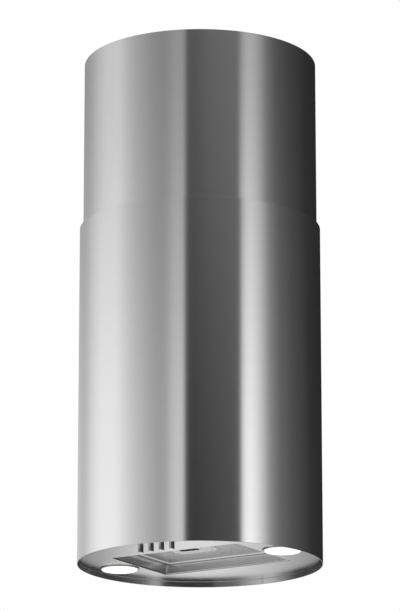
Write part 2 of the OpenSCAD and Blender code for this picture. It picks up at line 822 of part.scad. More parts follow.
module exhaust_collar() {
    color(dark) hood() difference() {
        union() {
            translate([0, 0, deck_top]) ring(collar_r, collar_in, collar_h);
            translate([0, 0, deck_top]) ring(collar_r + collar_flange, collar_in, 2);
            // Seat that the closed flaps rest on, and the bar between them
            translate([0, 0, seat_z]) difference() {
                ring(collar_in + eps, flap_r - 2, seat_t);
                translate([-2 * flap_x, -collar_r, -1]) cube([4 * flap_x, 2 * collar_r, seat_t + 2]);
            }
            translate([-bar_w / 2, -collar_in - eps, seat_z])
                cube([bar_w, 2 * collar_in + 2 * eps, seat_t + 4]);
        }
        for (x = [-1, 1]) translate([x * flap_x, flap_pin_len / 2 + 0.2, flap_z + flap_t / 2])
            rotate([90, 0, 0]) cylinder(r = flap_pin_r + run_fit, h = flap_pin_len + 0.4);
        for (p = collar_screws()) translate([p[0], p[1], deck_top - 1]) cylinder(r = 1.7, h = 4);
    }
}

// Half-round flap on the +X side, with its pin along its straight edge
module flap() {
    translate([0, 0, flap_z]) {
        intersection() {
            cylinder(r = flap_r, h = flap_t);
            translate([flap_x, -collar_r, -1]) cube([collar_r, 2 * collar_r, flap_t + 2]);
        }
        translate([flap_x, flap_pin_len / 2, flap_t / 2]) rotate([90, 0, 0])
            cylinder(r = flap_pin_r, h = flap_pin_len);
        // Stiffening rib across the flap
        translate([flap_x, -0.8, 0]) cube([flap_r * 0.8, 1.6, flap_t + 2]);
    }
}

module flap_right() {
    color("#3a3c40") hood() flap();
}

module flap_left() {
    color("#3a3c40") hood() mirror([1, 0, 0]) flap();
}

// ---- Electrical parts ----

module control_box() {
    color("#d9dadb") hood() translate([box_x, -box_d / 2, deck_top]) difference() {
        cube([box_w, box_d, box_h]);
        translate([box_t, box_t, box_t]) cube([inner_w, inner_d, box_h]);
        translate([box_w / 2, box_d + 1, box_h / 2]) rotate([90, 0, 0])
            cylinder(r = gland_r + run_fit, h = box_t + 2);
    }
}

module control_lid() {
    color("#cfd0d1") hood() translate([box_x, -box_d / 2, deck_top + box_h]) {
        cube([box_w, box_d, box_t]);
        translate([box_t + gap, box_t + gap, -3]) cube([inner_w - 2 * gap, inner_d - 2 * gap, 3 + eps]);
    }
}

module control_board() {
    board_w = inner_w - 2 * board_gap;
    corner_in = box_t + board_gap;
    color("#2f6b3c") hood() translate([box_x + corner_in, corner_in - box_d / 2, deck_top + box_t]) {
        for (x = [0.15, 0.85], y = [0.12, 0.88]) translate([x * board_w, y * board_d, 0])
            cylinder(r = 3, h = standoff_h + eps);
        translate([0, 0, standoff_h]) cube([board_w, board_d, board_t]);
        // Transformer and two relays
        translate([0.1 * board_w, 0.2 * board_d, standoff_h + board_t - eps])
            cube([0.45 * board_w, 0.5 * board_d, box_h * 0.45]);
        for (x = [0.62, 0.82]) translate([x * board_w, 0.3 * board_d, standoff_h + board_t - eps])
            cube([0.15 * board_w, 0.3 * board_d, box_h * 0.35]);
    }
}

module terminal_block() {
    block_w = inner_w - 6 * board_gap;
    ways = 4;
    block_y = box_d / 2 - box_t - terminal_in - terminal_d;
    color("#e6e2d6") hood() translate([box_x + box_t + 3 * board_gap, block_y, deck_top + box_t])
        difference() {
            cube([block_w, terminal_d, terminal_h]);
            for (i = [0:ways - 1]) translate([(i + 0.5) * block_w / ways, terminal_d / 2, terminal_h * 0.3])
                cylinder(r = block_w / ways / 4, h = terminal_h);
        }
}

module cable_gland() {
    hex_h = gland_out / 2;
    color("#33363a") hood() translate([box_x + box_w / 2, box_d / 2 + gland_out, deck_top + box_h / 2])
        rotate([90, 0, 0]) difference() {
            union() {
                cylinder(r = gland_r, h = gland_out + box_t + 1);
                translate([0, 0, hex_h]) cylinder(r = gland_r + 3, h = hex_h, $fn = 6);
                cylinder(r = gland_r + 1.5, h = hex_h - 1);
            }
            translate([0, 0, -1]) cylinder(r = gland_r / 2, h = 2 * gland_out);
        }
}

module capacitor() {
    color("#e8e8e6") hood() translate([drum_r - cap_edge - cap_r, 0, deck_top]) {
        translate([0, cap_len / 2, cap_r + 2]) rotate([90, 0, 0]) cylinder(r = cap_r, h = cap_len);
        // Cradle under the can
        for (y = [-0.3, 0.17]) translate([-cap_r, y * cap_len, 0])
            cube([2 * cap_r, cap_len * 0.13, cap_r * 0.6]);
    }
}

module lamp(side) {
    hood() translate([side * lamp_x, 0, 0]) children();
}

module lamp_bezel(side) {
    color(steel) lamp(side) rotate_extrude() {
        translate([lens_r + gap, plate_rec - bezel_t]) square([bezel_w, bezel_t]);
        translate([barrel_r - 1, plate_rec]) square([1, barrel_top - plate_rec]);
        translate([lens_r + gap, plate_rec - bezel_t]) square([barrel_r - lens_r - gap, bezel_t + 1]);
        // Ledge inside the barrel for the lamp board
        translate([barrel_r - 3, board_z - 1.5]) square([2.5, 1.5]);
    }
}

module lamp_lens(side) {
    dome = 1.2;
    color("#f6f6f2") lamp(side) {
        translate([0, 0, plate_rec - lens_proud + dome]) cylinder(r = lens_r, h = lens_proud - dome);
        translate([0, 0, plate_rec - lens_proud]) cylinder(r1 = lens_r - 3, r2 = lens_r, h = dome + eps);
        translate([0, 0, plate_rec - eps]) cylinder(r = barrel_r - 1 - gap, h = 2.5);
    }
}

module lamp_board(side) {
    color("#f2f2ee") lamp(side) {
        translate([0, 0, board_z]) cylinder(r = barrel_r - 1 - gap, h = board_t);
        for (a = [0:45:315]) rotate([0, 0, a]) translate([13, -1.5, board_z - 0.8]) cube([3, 3, 0.8 + eps]);
        translate([-9, -6, board_z + board_t - eps]) cube([18, 12, 5]);
    }
}

module lamp_clip(side) {
    color(zinc) lamp(side) translate([0, 0, plate_top]) {
        ring(lamp_hole_r + clip_lip, barrel_r + run_fit, 1);
        for (a = [30, 150, 270]) rotate([0, 0, a]) translate([barrel_r + gap, -4, 0]) cube([1, 8, 9]);
    }
}

module key_housing() {
    color("#222426") hood() translate([0, -key_y, plate_top]) difference() {
        union() {
            translate([-housing_w / 2, -housing_d / 2, 0]) cube([housing_w, housing_d, housing_h]);
            // Fixing ears
            for (x = [-1, 1]) translate([x * (housing_w / 2 + 5), 0, 0]) linear_extrude(2) rrect(14, 14, 3);
        }
        for (i = [1:key_count]) translate([key_x(i), 0, -1]) {
            linear_extrude(housing_h - 3) rrect(key_w + 2 * gap, key_d + 2 * gap, 1);
            linear_extrude(flange_z + flange_t - plate_top + key_travel + 1 + gap)
                rrect(key_w + 2 * flange_w + 2 * gap, key_d + 2 * flange_w + 2 * gap, 1);
        }
    }
}

module key(i) {
    color("#b9bcbf") hood() translate([key_x(i), -key_y, 0]) {
        translate([0, 0, plate_rec - key_proud]) linear_extrude(key_top - plate_rec + key_proud)
            rrect(key_w, key_d, 0.8);
        translate([0, 0, flange_z]) linear_extrude(flange_t)
            rrect(key_w + 2 * flange_w, key_d + 2 * flange_w, 1);
    }
}

// ---- Filter ----

module filter() {
    hood() translate([0, recess_y, filter_z]) children();
}

module filter_frame() {
    color("#b4b7ba") filter() difference() {
        union() {
            translate([pivot_x, -filter_d / 2, 0]) cube([filter_w / 2 - pivot_x, filter_d, filter_t]);
            translate([pivot_x, filter_d / 2, nose_r]) rotate([90, 0, 0]) cylinder(r = nose_r, h = filter_d);
            translate([pivot_x, pivot_len / 2, nose_r]) rotate([90, 0, 0])
                cylinder(r = pivot_r, h = pivot_len);
        }
        // Channel that holds the mesh and pad, and the open windows on both faces
        translate([pivot_x + nose_r / 2, -filter_d / 2 + filter_sheet, filter_sheet])
            cube([filter_w / 2 - filter_sheet - pivot_x - nose_r / 2, filter_d - 2 * filter_sheet,
                filter_t - 2 * filter_sheet]);
        translate([0, 0, -1]) linear_extrude(filter_t + 2)
            rrect(filter_w - 2 * filter_lip, filter_d - 2 * filter_lip, 2);
        translate([filter_w / 2 - 2, -latch_w / 2 - gap, nose_r - latch_hh - gap])
            cube([4, latch_w + 2 * gap, 2 * latch_hh + 2 * gap]);
    }
}

module field(z, t) {
    translate([field_x0, -field_d / 2, z]) cube([field_x1 - field_x0, field_d, t]);
}

module handle_outline(grow) {
    translate([handle_x, 0]) stadium(handle_l + 2 * grow, handle_w + 2 * grow);
}

// Sheet of staggered diamonds, cut away under the handle
module filter_mesh() {
    mesh_w = mesh_l / 2;
    hole_l = mesh_l - 1.6 * mesh_strand;
    hole_w = mesh_w - 0.8 * mesh_strand;
    nx = floor((filter_w - 2 * filter_lip - mesh_l) / mesh_l / 2);
    ny = floor((filter_d - 2 * filter_lip - mesh_w) / mesh_w / 2);
    color("#8e9194") filter() difference() {
        field(mesh_z, mesh_t);
        translate([0, 0, mesh_z - 1]) linear_extrude(mesh_t + 2) {
            for (j = [-2 * ny:2 * ny], i = [-nx:nx]) {
                x = (i + (abs(j) % 2) / 2) * mesh_l;
                y = j * mesh_w / 2;
                if (x < nx * mesh_l + eps
                    && !(abs(x - handle_x) < handle_l / 2 + 2 && abs(y) < handle_w / 2 + 2))
                    translate([x, y]) polygon([[-hole_l, 0], [0, -hole_w], [hole_l, 0], [0, hole_w]] / 2);
            }
            handle_outline(gap - handle_step);
        }
    }
}

module filter_pad() {
    color("#73777a") filter() difference() {
        field(pad_z, pad_t);
        translate([0, 0, pad_z - 1]) linear_extrude(pad_t + 2) {
            handle_outline(gap - handle_step);
            translate([0, -latch_w / 2 - 1]) square([filter_w, latch_w + 2]);
        }
    }
}

module filter_handle() {
    dish = 1.5;
    dish_edge = 3.5;
    lip_z = mesh_z - 1;
    color("#c6c8ca") filter() difference() {
        union() {
            translate([0, 0, mesh_z - eps]) linear_extrude(handle_top - mesh_z + eps)
                handle_outline(-handle_step);
            translate([0, 0, lip_z]) linear_extrude(1) handle_outline(0);
        }
        // Shallow dish, finger slot and the thumb pad's pocket
        translate([0, 0, lip_z - 1]) linear_extrude(1 + dish) handle_outline(-dish_edge);
        translate([slot_x + slot_l / 2, 0, lip_z - 1]) linear_extrude(pocket_top - lip_z + 1)
            stadium(slot_l, slot_w);
        translate([thumb_x - latch_travel / 2, 0, lip_z - 1]) linear_extrude(pocket_top - lip_z + 1)
            stadium(2 * thumb_r + latch_travel + 2 * gap, 2 * thumb_r + 2 * gap);
        translate([thumb_x, 0, nose_r]) rotate([0, 90, 0]) cylinder(r = rod_r + gap, h = handle_l);
    }
}

module latch_slider() {
    color("#d2d4d6") filter() {
        // Thumb pad with a grip rib, its rod, the spring collar and the nose
        translate([thumb_x, 0, 1]) cylinder(r = thumb_r, h = pocket_top - 1 - gap);
        translate([thumb_x - 1, -thumb_r / 2, 0]) cube([2, thumb_r, 1 + eps]);
        translate([thumb_x, 0, nose_r]) rotate([0, 90, 0])
            cylinder(r = rod_r, h = filter_w / 2 - nose_len - thumb_x + 1);
        translate([spring_x0 + spring_len + wire_r + run_fit, 0, nose_r]) rotate([0, 90, 0])
            cylinder(r = 2.4, h = 2);
        translate([filter_w / 2 - nose_len, -latch_w / 2, nose_r - latch_hh])
            cube([nose_len + latch_out, latch_w, 2 * latch_hh]);
    }
}

// Helix along X, closed at both ends
module latch_spring() {
    sides = 8;
    per_turn = 14;
    n = spring_turns * per_turn;
    function at(i) = let (a = 360 * i / per_turn)
        [spring_x0 + spring_len * i / n, spring_r * cos(a), spring_r * sin(a)];
    function rim(i, k) = let (a = 360 * i / per_turn, b = 360 * k / sides)
        at(i) + wire_r * [sin(b), cos(b) * cos(a), cos(b) * sin(a)];
    points = [for (i = [0:n], k = [0:sides - 1]) rim(i, k)];
    walls = [for (i = [0:n - 1], k = [0:sides - 1]) let (k2 = (k + 1) % sides)
        [i * sides + k, (i + 1) * sides + k, (i + 1) * sides + k2, i * sides + k2]];
    ends = [[for (k = [0:sides - 1]) k], [for (k = [sides - 1:-1:0]) n * sides + k]];
    color("#9a9da0") filter() translate([0, 0, nose_r]) polyhedron(points, concat(walls, ends));
}

module latch_keeper() {
    wall_x = recess_w / 2 + plate_t;
    color("#a7aaad") hood() translate([0, recess_y, 0]) {
        translate([wall_x, -keeper_w / 2 - 3, plate_rec + recess_bend + 1])
            cube([keeper_t, keeper_w + 6, ledge_z - plate_rec - recess_bend - 2]);
        translate([filter_w / 2 + 0.4, -keeper_w / 2, keeper_top - keeper_h])
            cube([wall_x - filter_w / 2 - 0.4 + eps, keeper_w, keeper_h]);
    }
}

ceiling_plate();
upper_rail(1);  // upper_rail_1
upper_rail(2);  // upper_rail_2
upper_rail(3);  // upper_rail_3
upper_rail(4);  // upper_rail_4
rail_head_bolts();
upper_tube();
upper_tube_screws();
lower_tube();
guide_ring();
base_plate();
stud_nuts();
inner_casing();
casing_deck();
casing_screws();
lower_rail(1);  // lower_rail_1
lower_rail(2);  // lower_rail_2
lower_rail(3);  // lower_rail_3
lower_rail(4);  // lower_rail_4
rail_bolts();
exhaust_collar();
flap_left();
flap_right();
blower_neck();
scroll_front();
scroll_rear();
inlet_ring_front();
inlet_ring_rear();
motor();
motor_bracket();
motor_bushes();
motor_bolts();
impeller();
impeller_shaft();
capacitor();
control_box();
control_lid();
control_board();
terminal_block();
cable_gland();
lamp_bezel(-1);  // lamp_bezel_left
lamp_bezel(1);  // lamp_bezel_right
lamp_lens(-1);  // lamp_lens_left
lamp_lens(1);  // lamp_lens_right
lamp_board(-1);  // lamp_board_left
lamp_board(1);  // lamp_board_right
lamp_clip(-1);  // lamp_clip_left
lamp_clip(1);  // lamp_clip_right
key_housing();
key(1);  // key_1
key(2);  // key_2
key(3);  // key_3
key(4);  // key_4
latch_keeper();
filter_frame();
filter_mesh();
filter_pad();
filter_handle();
latch_slider();
latch_spring();
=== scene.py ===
# %% [markdown]
# An island range hood hangs from the ceiling over a kitchen island. Two steel tubes slide one
# inside the other to suit the ceiling height, and the underside carries the filter, two lamps
# and four keys. The engineering model gives every solid its place. This lesson dresses it.
# It could be modelled afresh, but then the parts might drift from the solids, so places and
# outer sizes are read from them, and only small details are typed here.

# %% Load the solids and keep their box
import math

import bmesh
import bpy
from mathutils import Matrix, Vector


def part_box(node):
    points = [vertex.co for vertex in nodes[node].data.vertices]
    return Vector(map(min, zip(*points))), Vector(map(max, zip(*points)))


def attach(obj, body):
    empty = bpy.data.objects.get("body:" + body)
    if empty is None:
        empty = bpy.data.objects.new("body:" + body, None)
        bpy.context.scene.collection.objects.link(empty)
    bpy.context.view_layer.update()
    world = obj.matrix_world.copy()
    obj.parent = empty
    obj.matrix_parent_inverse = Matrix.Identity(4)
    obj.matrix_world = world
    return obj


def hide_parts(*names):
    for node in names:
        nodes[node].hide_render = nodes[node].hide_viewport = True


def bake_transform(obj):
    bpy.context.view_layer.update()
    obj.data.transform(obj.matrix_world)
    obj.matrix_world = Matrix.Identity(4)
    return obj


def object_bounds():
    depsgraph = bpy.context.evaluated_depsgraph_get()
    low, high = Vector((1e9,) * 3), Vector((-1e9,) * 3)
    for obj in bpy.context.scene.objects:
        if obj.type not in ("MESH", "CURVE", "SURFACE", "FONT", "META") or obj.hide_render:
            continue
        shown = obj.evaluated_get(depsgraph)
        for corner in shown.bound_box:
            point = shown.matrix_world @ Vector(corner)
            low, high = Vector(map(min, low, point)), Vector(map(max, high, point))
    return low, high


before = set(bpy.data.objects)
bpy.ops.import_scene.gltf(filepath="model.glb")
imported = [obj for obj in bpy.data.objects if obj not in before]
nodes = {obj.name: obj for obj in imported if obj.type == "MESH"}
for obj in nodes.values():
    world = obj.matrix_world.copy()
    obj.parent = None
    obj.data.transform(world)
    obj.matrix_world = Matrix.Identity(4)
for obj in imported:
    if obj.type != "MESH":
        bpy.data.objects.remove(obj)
solid_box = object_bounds()
print("solids:", len(nodes), "height in metres:", round(solid_box[1].z - solid_box[0].z, 4))

# %% [markdown]
# The view is from below and to the right, as a cook sees the hood from across the island.
# The camera stands low, five metres away, and tilts up. A long lens keeps the tubes' sides
# nearly upright, and no sensor shift is used, so any other angle stays centred as well.

# %% Camera
CAMERA_SIDE = math.radians(-58.8)
CAMERA_AWAY = 5.0
CAMERA_Z = -1.7115
CAMERA_TILT = math.radians(15.083)
CAMERA_LENS = 210.42

camera_data = bpy.data.cameras.new("camera")
camera_data.lens = CAMERA_LENS
camera = bpy.data.objects.new("camera", camera_data)
camera.location = (CAMERA_AWAY * math.cos(CAMERA_SIDE), CAMERA_AWAY * math.sin(CAMERA_SIDE),
                   CAMERA_Z)
camera.rotation_euler = (math.pi / 2 + CAMERA_TILT, 0, CAMERA_SIDE + math.pi / 2)
bpy.context.scene.collection.objects.link(camera)
bpy.context.scene.camera = camera
print("camera at", [round(c, 3) for c in camera.location])

# %% [markdown]
# Every finish is a small network of nodes. A helper makes the material and sets the main
# shader's own numbers, and another adds one node and joins its sockets. They could be
# written out each time, but short helpers keep the recipe of each finish easy to read.

# %% Helpers for finishes
def begin_finish(name, colour, metallic, roughness):
    material = bpy.data.materials.new(name)
    material.use_nodes = True
    shader = material.node_tree.nodes["Principled BSDF"]
    shader.inputs["Base Color"].default_value = (*colour, 1)
    shader.inputs["Metallic"].default_value = metallic
    shader.inputs["Roughness"].default_value = roughness
    return material, shader


def add(material, kind, sockets, **settings):
    node = material.node_tree.nodes.new("ShaderNode" + kind)
    for name, value in settings.items():
        setattr(node, name, value)
    for name, value in sockets.items():
        if isinstance(value, bpy.types.NodeSocket):
            material.node_tree.links.new(value, node.inputs[name])
        else:
            node.inputs[name].default_value = value
    return node


def join(material, source, target):
    material.node_tree.links.new(source, target)


def stretched_noise(material, scale, detail=3):
    place = add(material, "TexCoord", {})
    mapping = add(material, "Mapping", {"Vector": place.outputs["Object"], "Scale": scale})
    return add(material, "TexNoise", {"Vector": mapping.outputs["Vector"], "Scale": 1.0,
                                      "Detail": detail, "Roughness": 0.55}).outputs["Fac"]


# Noise stays mostly between these two values, so they are stretched over the whole range
NOISE_LOW, NOISE_HIGH = 0.25, 0.75


def spread(material, value, low, high):
    return add(material, "MapRange", {"Value": value, "From Min": NOISE_LOW,
                                      "From Max": NOISE_HIGH, "To Min": low,
                                      "To Max": high}).outputs["Result"]


def tinted(material, value, dark, light):
    ramp = add(material, "ValToRGB", {"Fac": value})
    for stop, colour, position in zip(ramp.color_ramp.elements, (dark, light),
                                      (NOISE_LOW, NOISE_HIGH)):
        stop.color = (*colour, 1)
        stop.position = position
    return ramp.outputs["Color"]


def relief(material, shader, height, distance, edge=0.0):
    bump = add(material, "Bump", {"Height": height, "Strength": 1.0, "Distance": distance})
    if edge:
        rounding = add(material, "Bevel", {"Radius": edge}, samples=4)
        join(material, rounding.outputs["Normal"], bump.inputs["Normal"])
    join(material, bump.outputs["Normal"], shader.inputs["Normal"])


print("finish helpers ready")

# %% [markdown]
# The tubes are satin stainless steel, polished with a belt that runs round them. The belt
# leaves hairlines along the way round, so reflections smear up and down but stay crisp from
# side to side. Anisotropy gives that smear, with its tangent along the tube, and a noise that
# is over four hundred times finer upwards than sideways gives the hairlines.

# %% Tube steel
tube_steel, shader = begin_finish("tube_steel", (0.78, 0.785, 0.79), 1.0, 0.2)
shader.inputs["Anisotropic"].default_value = 0.8
upright = add(tube_steel, "CombineXYZ", {"Z": 1.0})
join(tube_steel, upright.outputs["Vector"], shader.inputs["Tangent"])
hairlines = stretched_noise(tube_steel, (6, 6, 2600), 4)
clouds = stretched_noise(tube_steel, (5, 5, 3), 2)
join(tube_steel, tinted(tube_steel, clouds, (0.84, 0.838, 0.838), (0.87, 0.868, 0.868)),
     shader.inputs["Base Color"])
join(tube_steel, spread(tube_steel, hairlines, 0.18, 0.225), shader.inputs["Roughness"])
relief(tube_steel, shader, hairlines, 0.000004)
print("tube steel nodes:", len(tube_steel.node_tree.nodes))

# %% [markdown]
# The base plate is the same steel, but brushed in straight lines and a little more matt,
# because it is a flat pressed sheet. The hairlines run from side to side.

# %% Plate steel
plate_steel, shader = begin_finish("plate_steel", (0.77, 0.77, 0.77), 1.0, 0.3)
brush = stretched_noise(plate_steel, (12, 1500, 400), 4)
clouds = stretched_noise(plate_steel, (9, 9, 9), 2)
join(plate_steel, tinted(plate_steel, clouds, (0.745, 0.745, 0.75), (0.79, 0.79, 0.79)),
     shader.inputs["Base Color"])
join(plate_steel, spread(plate_steel, brush, 0.2, 0.26), shader.inputs["Roughness"])
relief(plate_steel, shader, brush, 0.000005, 0.0002)
print("plate steel nodes:", len(plate_steel.node_tree.nodes))

# %% [markdown]
# The hidden sheet parts are galvanised. Zinc freezes in flat crystals, which show as patches
# of slightly different grey and gloss. Voronoi cells give each crystal its own tone, and a
# fine noise gives the skin a slight relief. Bolts and springs have much smaller crystals.

# %% Galvanised sheet and plated fasteners
def galvanised(name, tone, cells, roughness):
    material, shader = begin_finish(name, (tone, tone, tone), 1.0, roughness)
    place = add(material, "TexCoord", {})
    crystals = add(material, "TexVoronoi", {"Vector": place.outputs["Object"], "Scale": cells})
    grey = add(material, "SeparateColor", {"Color": crystals.outputs["Color"]}).outputs["Red"]
    join(material, tinted(material, grey, (tone * 0.86,) * 3, (tone, tone * 1.01, tone * 1.03)),
         shader.inputs["Base Color"])
    join(material, spread(material, grey, roughness - 0.07, roughness + 0.07),
         shader.inputs["Roughness"])
    relief(material, shader, stretched_noise(material, (900, 900, 900)), 0.00001, 0.0003)
    return material


zinc_sheet = galvanised("zinc_sheet", 0.62, 130, 0.42)
zinc_fastener = galvanised("zinc_fastener", 0.66, 900, 0.33)
spring_steel = galvanised("spring_steel", 0.55, 1500, 0.3)
print("zinc finishes:", zinc_sheet.name, zinc_fastener.name, spring_steel.name)

# %% [markdown]
# Moulded plastic has a spark-eroded grain: a fine even pebble that spreads highlights.
# A small noise drives both the bump and a slight change of gloss, and a wider one the colour.

# %% Moulded plastics and rubber
def moulded(name, dark, light, roughness, grain, depth=0.00003):
    material, shader = begin_finish(name, light, 0.0, roughness)
    pebble = stretched_noise(material, (grain, grain, grain), 2)
    cloud = stretched_noise(material, (30, 30, 30), 3)
    join(material, tinted(material, cloud, dark, light), shader.inputs["Base Color"])
    join(material, spread(material, pebble, roughness - 0.05, roughness + 0.06),
         shader.inputs["Roughness"])
    relief(material, shader, pebble, depth, 0.0004)
    return material


# This black finish is real plastic on the moulded parts, and painted shade in the finger slot.
black_plastic = moulded("black_plastic", (0.022, 0.022, 0.024), (0.033, 0.033, 0.035), 0.45, 1400)
grey_plastic = moulded("grey_plastic", (0.075, 0.08, 0.085), (0.1, 0.105, 0.11), 0.4, 1100)
light_plastic = moulded("light_plastic", (0.7, 0.7, 0.68), (0.77, 0.77, 0.75), 0.38, 1600)
bush_rubber = moulded("bush_rubber", (0.016, 0.016, 0.016), (0.028, 0.028, 0.028), 0.75, 2200)
led_board = moulded("led_board", (0.82, 0.82, 0.79), (0.87, 0.87, 0.84), 0.3, 2500, 0.00001)
print("plastics ready")

# %% [markdown]
# The motor is a stack of pressed steel sheets between two cast end bells. Its turned and
# cast surfaces are dull, and fine rings run round its axis, which lies along the y axis. The
# shaft is ground smooth. A brick pattern stands for the board's tracks.

# %% Motor metal, ground shaft and circuit board
motor_metal, shader = begin_finish("motor_metal", (0.42, 0.43, 0.44), 1.0, 0.45)
rings = stretched_noise(motor_metal, (20, 900, 20), 3)
join(motor_metal, tinted(motor_metal, rings, (0.34, 0.35, 0.36), (0.47, 0.48, 0.49)),
     shader.inputs["Base Color"])
relief(motor_metal, shader, rings, 0.00008, 0.0004)

ground_steel, shader = begin_finish("ground_steel", (0.7, 0.7, 0.71), 1.0, 0.14)
rings = stretched_noise(ground_steel, (200, 1500, 200), 3)
join(ground_steel, spread(ground_steel, rings, 0.1, 0.2), shader.inputs["Roughness"])

circuit_board, shader = begin_finish("circuit_board", (0.05, 0.22, 0.09), 0.0, 0.35)
place = add(circuit_board, "TexCoord", {})
tracks = add(circuit_board, "TexBrick", {"Vector": place.outputs["Object"], "Scale": 90.0,
             "Color1": (0.03, 0.17, 0.07, 1), "Color2": (0.05, 0.24, 0.1, 1),
             "Mortar": (0.1, 0.34, 0.16, 1), "Mortar Size": 0.03})
join(circuit_board, tracks.outputs["Color"], shader.inputs["Base Color"])
relief(circuit_board, shader, tracks.outputs["Fac"], 0.00005, 0.0003)
print("motor and board finishes ready")

# %% [markdown]
# Aluminium parts are satin. The etched frame, handle and mesh scatter light like paint as
# well as mirror it, so they are less than fully metallic. The keys and the lamp rings are
# polished, and stay pure metal. Knitted wire fills the filter, and the pad's finish draws its
# loops along the edges of Voronoi cells.

# %% Aluminium
def satin_aluminium(name, tone, roughness, scale, metallic=1.0):
    material, shader = begin_finish(name, (tone,) * 3, metallic, roughness)
    grain = stretched_noise(material, scale, 3)
    join(material, tinted(material, grain, (tone * 0.94,) * 3, (tone * 1.03,) * 3),
         shader.inputs["Base Color"])
    join(material, spread(material, grain, roughness - 0.05, roughness + 0.05),
         shader.inputs["Roughness"])
    relief(material, shader, grain, 0.000008, 0.0003)
    return material


frame_aluminium = satin_aluminium("frame_aluminium", tone=0.93, roughness=0.4,
                                  scale=(20, 1200, 1200), metallic=0.15)
handle_aluminium = satin_aluminium("handle_aluminium", tone=0.85, roughness=0.45,
                                   scale=(700, 700, 700), metallic=0.3)
key_metal = satin_aluminium("key_metal", tone=0.74, roughness=0.2, scale=(60, 60, 1800))
strand_metal = satin_aluminium("strand_metal", tone=0.95, roughness=0.3,
                               scale=(300, 300, 300), metallic=0.93)
bezel_steel = satin_aluminium("bezel_steel", tone=0.72, roughness=0.12, scale=(500, 500, 500))

knitted_wire, shader = begin_finish("knitted_wire", (0.4, 0.41, 0.42), 1.0, 0.45)
place = add(knitted_wire, "TexCoord", {})
wires = add(knitted_wire, "TexVoronoi", {"Vector": place.outputs["Object"], "Scale": 420.0},
            feature="DISTANCE_TO_EDGE")
join(knitted_wire, tinted(knitted_wire, wires.outputs["Distance"], (0.5, 0.5, 0.51),
                          (0.14, 0.14, 0.145)), shader.inputs["Base Color"])
relief(knitted_wire, shader, wires.outputs["Distance"], 0.0004)
print("aluminium finishes ready")

# %% [markdown]
# The lamp's lens is opal plastic with a ring of diodes behind it. It looks evenly white over
# most of its width and clearly greyer at the rim, so the glow falls off over the outer third.
# A light behind a see-through lens could do it too, but this finish is simpler. Like any
# glowing surface, it also sheds a little light on what is near it.

# %% Lamp glow
GLOW_FULL = 0.017
GLOW_RIM = 0.0262


def lamp_glow(name, centre):
    material, shader = begin_finish(name, (0.95, 0.95, 0.93), 0.0, 0.25)
    place = add(material, "TexCoord", {})
    offset = add(material, "VectorMath", {0: place.outputs["Object"], 1: centre},
                 operation="SUBTRACT")
    flat = add(material, "VectorMath", {0: offset.outputs["Vector"], 1: (1, 1, 0)},
               operation="MULTIPLY")
    reach = add(material, "VectorMath", {0: flat.outputs["Vector"]}, operation="LENGTH")
    fall = add(material, "MapRange", {"Value": reach.outputs["Value"], "From Min": GLOW_FULL,
               "From Max": GLOW_RIM, "To Min": 1.0, "To Max": 0.0},
               interpolation_type="SMOOTHSTEP")
    glow = add(material, "ValToRGB", {"Fac": fall.outputs["Result"]})
    glow.color_ramp.elements[0].color = (0.35, 0.35, 0.34, 1)
    glow.color_ramp.elements[1].color = (1, 1, 0.985, 1)
    join(material, glow.outputs["Color"], shader.inputs["Emission Color"])
    shader.inputs["Emission Strength"].default_value = 1.1
    return material


print("lamp glow ready")

# %% [markdown]
# New pieces are merged meshes, so they are shaded smooth, and a weighted normal keeps the big
# faces flat while the small rounded edges take the turn. One helper makes the object, gives
# it its finish, hangs it on its body and hides the solids it stands for.

# %% Helpers for pieces
SAME_PLACE = 1e-6


def place_mesh(name, builder, material):
    mesh = bpy.data.meshes.new(name)
    builder.to_mesh(mesh)
    builder.free()
    mesh.materials.append(material)
    thing = bpy.data.objects.new(name, mesh)
    bpy.context.scene.collection.objects.link(thing)
    return thing


def make_piece(name, mesh_maker, material, body, replaced=(), smooth=True):
    builder = bmesh.new()
    mesh_maker(builder)
    bmesh.ops.remove_doubles(builder, verts=builder.verts, dist=SAME_PLACE)
    bmesh.ops.recalc_face_normals(builder, faces=builder.faces)
    for face in builder.faces:
        face.smooth = smooth
    piece = place_mesh(name, builder, material)
    if smooth:
        weigh = piece.modifiers.new("even shading", "WEIGHTED_NORMAL")
        weigh.keep_sharp = True
    if body:
        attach(piece, body)
    if replaced:
        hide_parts(*replaced)
    print(name, "faces:", len(piece.data.polygons))
    return piece


def round_edges(builder, edges, width, segments=3):
    bmesh.ops.bevel(builder, geom=list(edges), offset=width, segments=segments, profile=0.5,
                    affect="EDGES", offset_type="OFFSET", material=-1, clamp_overlap=True)


def middle(node):
    low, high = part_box(node)
    return (low + high) / 2


def centres_of_solids(node):
    """Centre of each separate solid in a node."""
    builder = bmesh.new()
    builder.from_mesh(nodes[node].data)
    bmesh.ops.remove_doubles(builder, verts=builder.verts, dist=SAME_PLACE)
    left, found = set(builder.verts), []
    while left:
        island, todo = set(), [left.pop()]
        while todo:
            vert = todo.pop()
            island.add(vert)
            near = {edge.other_vert(vert) for edge in vert.link_edges} & left
            left -= near
            todo += near
        low = Vector([min(v.co[k] for v in island) for k in range(3)])
        high = Vector([max(v.co[k] for v in island) for k in range(3)])
        found.append((low + high) / 2)
    builder.free()
    return found


print("piece helpers ready")

# %% [markdown]
# Each tube is a sheet of one millimetre steel rolled into a cylinder and joined by a seam at
# the back. A circle is extruded up into a wall, the rear edge is beveled and pushed in for
# the seam, and solidify gives the wall its thickness. The cut rims are then rounded a
# little, because a sharp rim would catch no light, and held to the solid's height. The lower
# tube also carries welded studs, which are short rods with a rounded tip.

# %% Rolled tubes
TUBE_WALL = 0.001
SEAM_HALF, SEAM_DEEP = 0.0005, 0.0004
RIM_ROUND = 0.0003
STUD_RADIUS, STUD_LONG, STUD_ROUND = 0.0019, 0.0125, 0.0004
STUD_MIDDLE, STUD_TIP = 0.006, 0.011  # both measured inwards from the wall's inner face


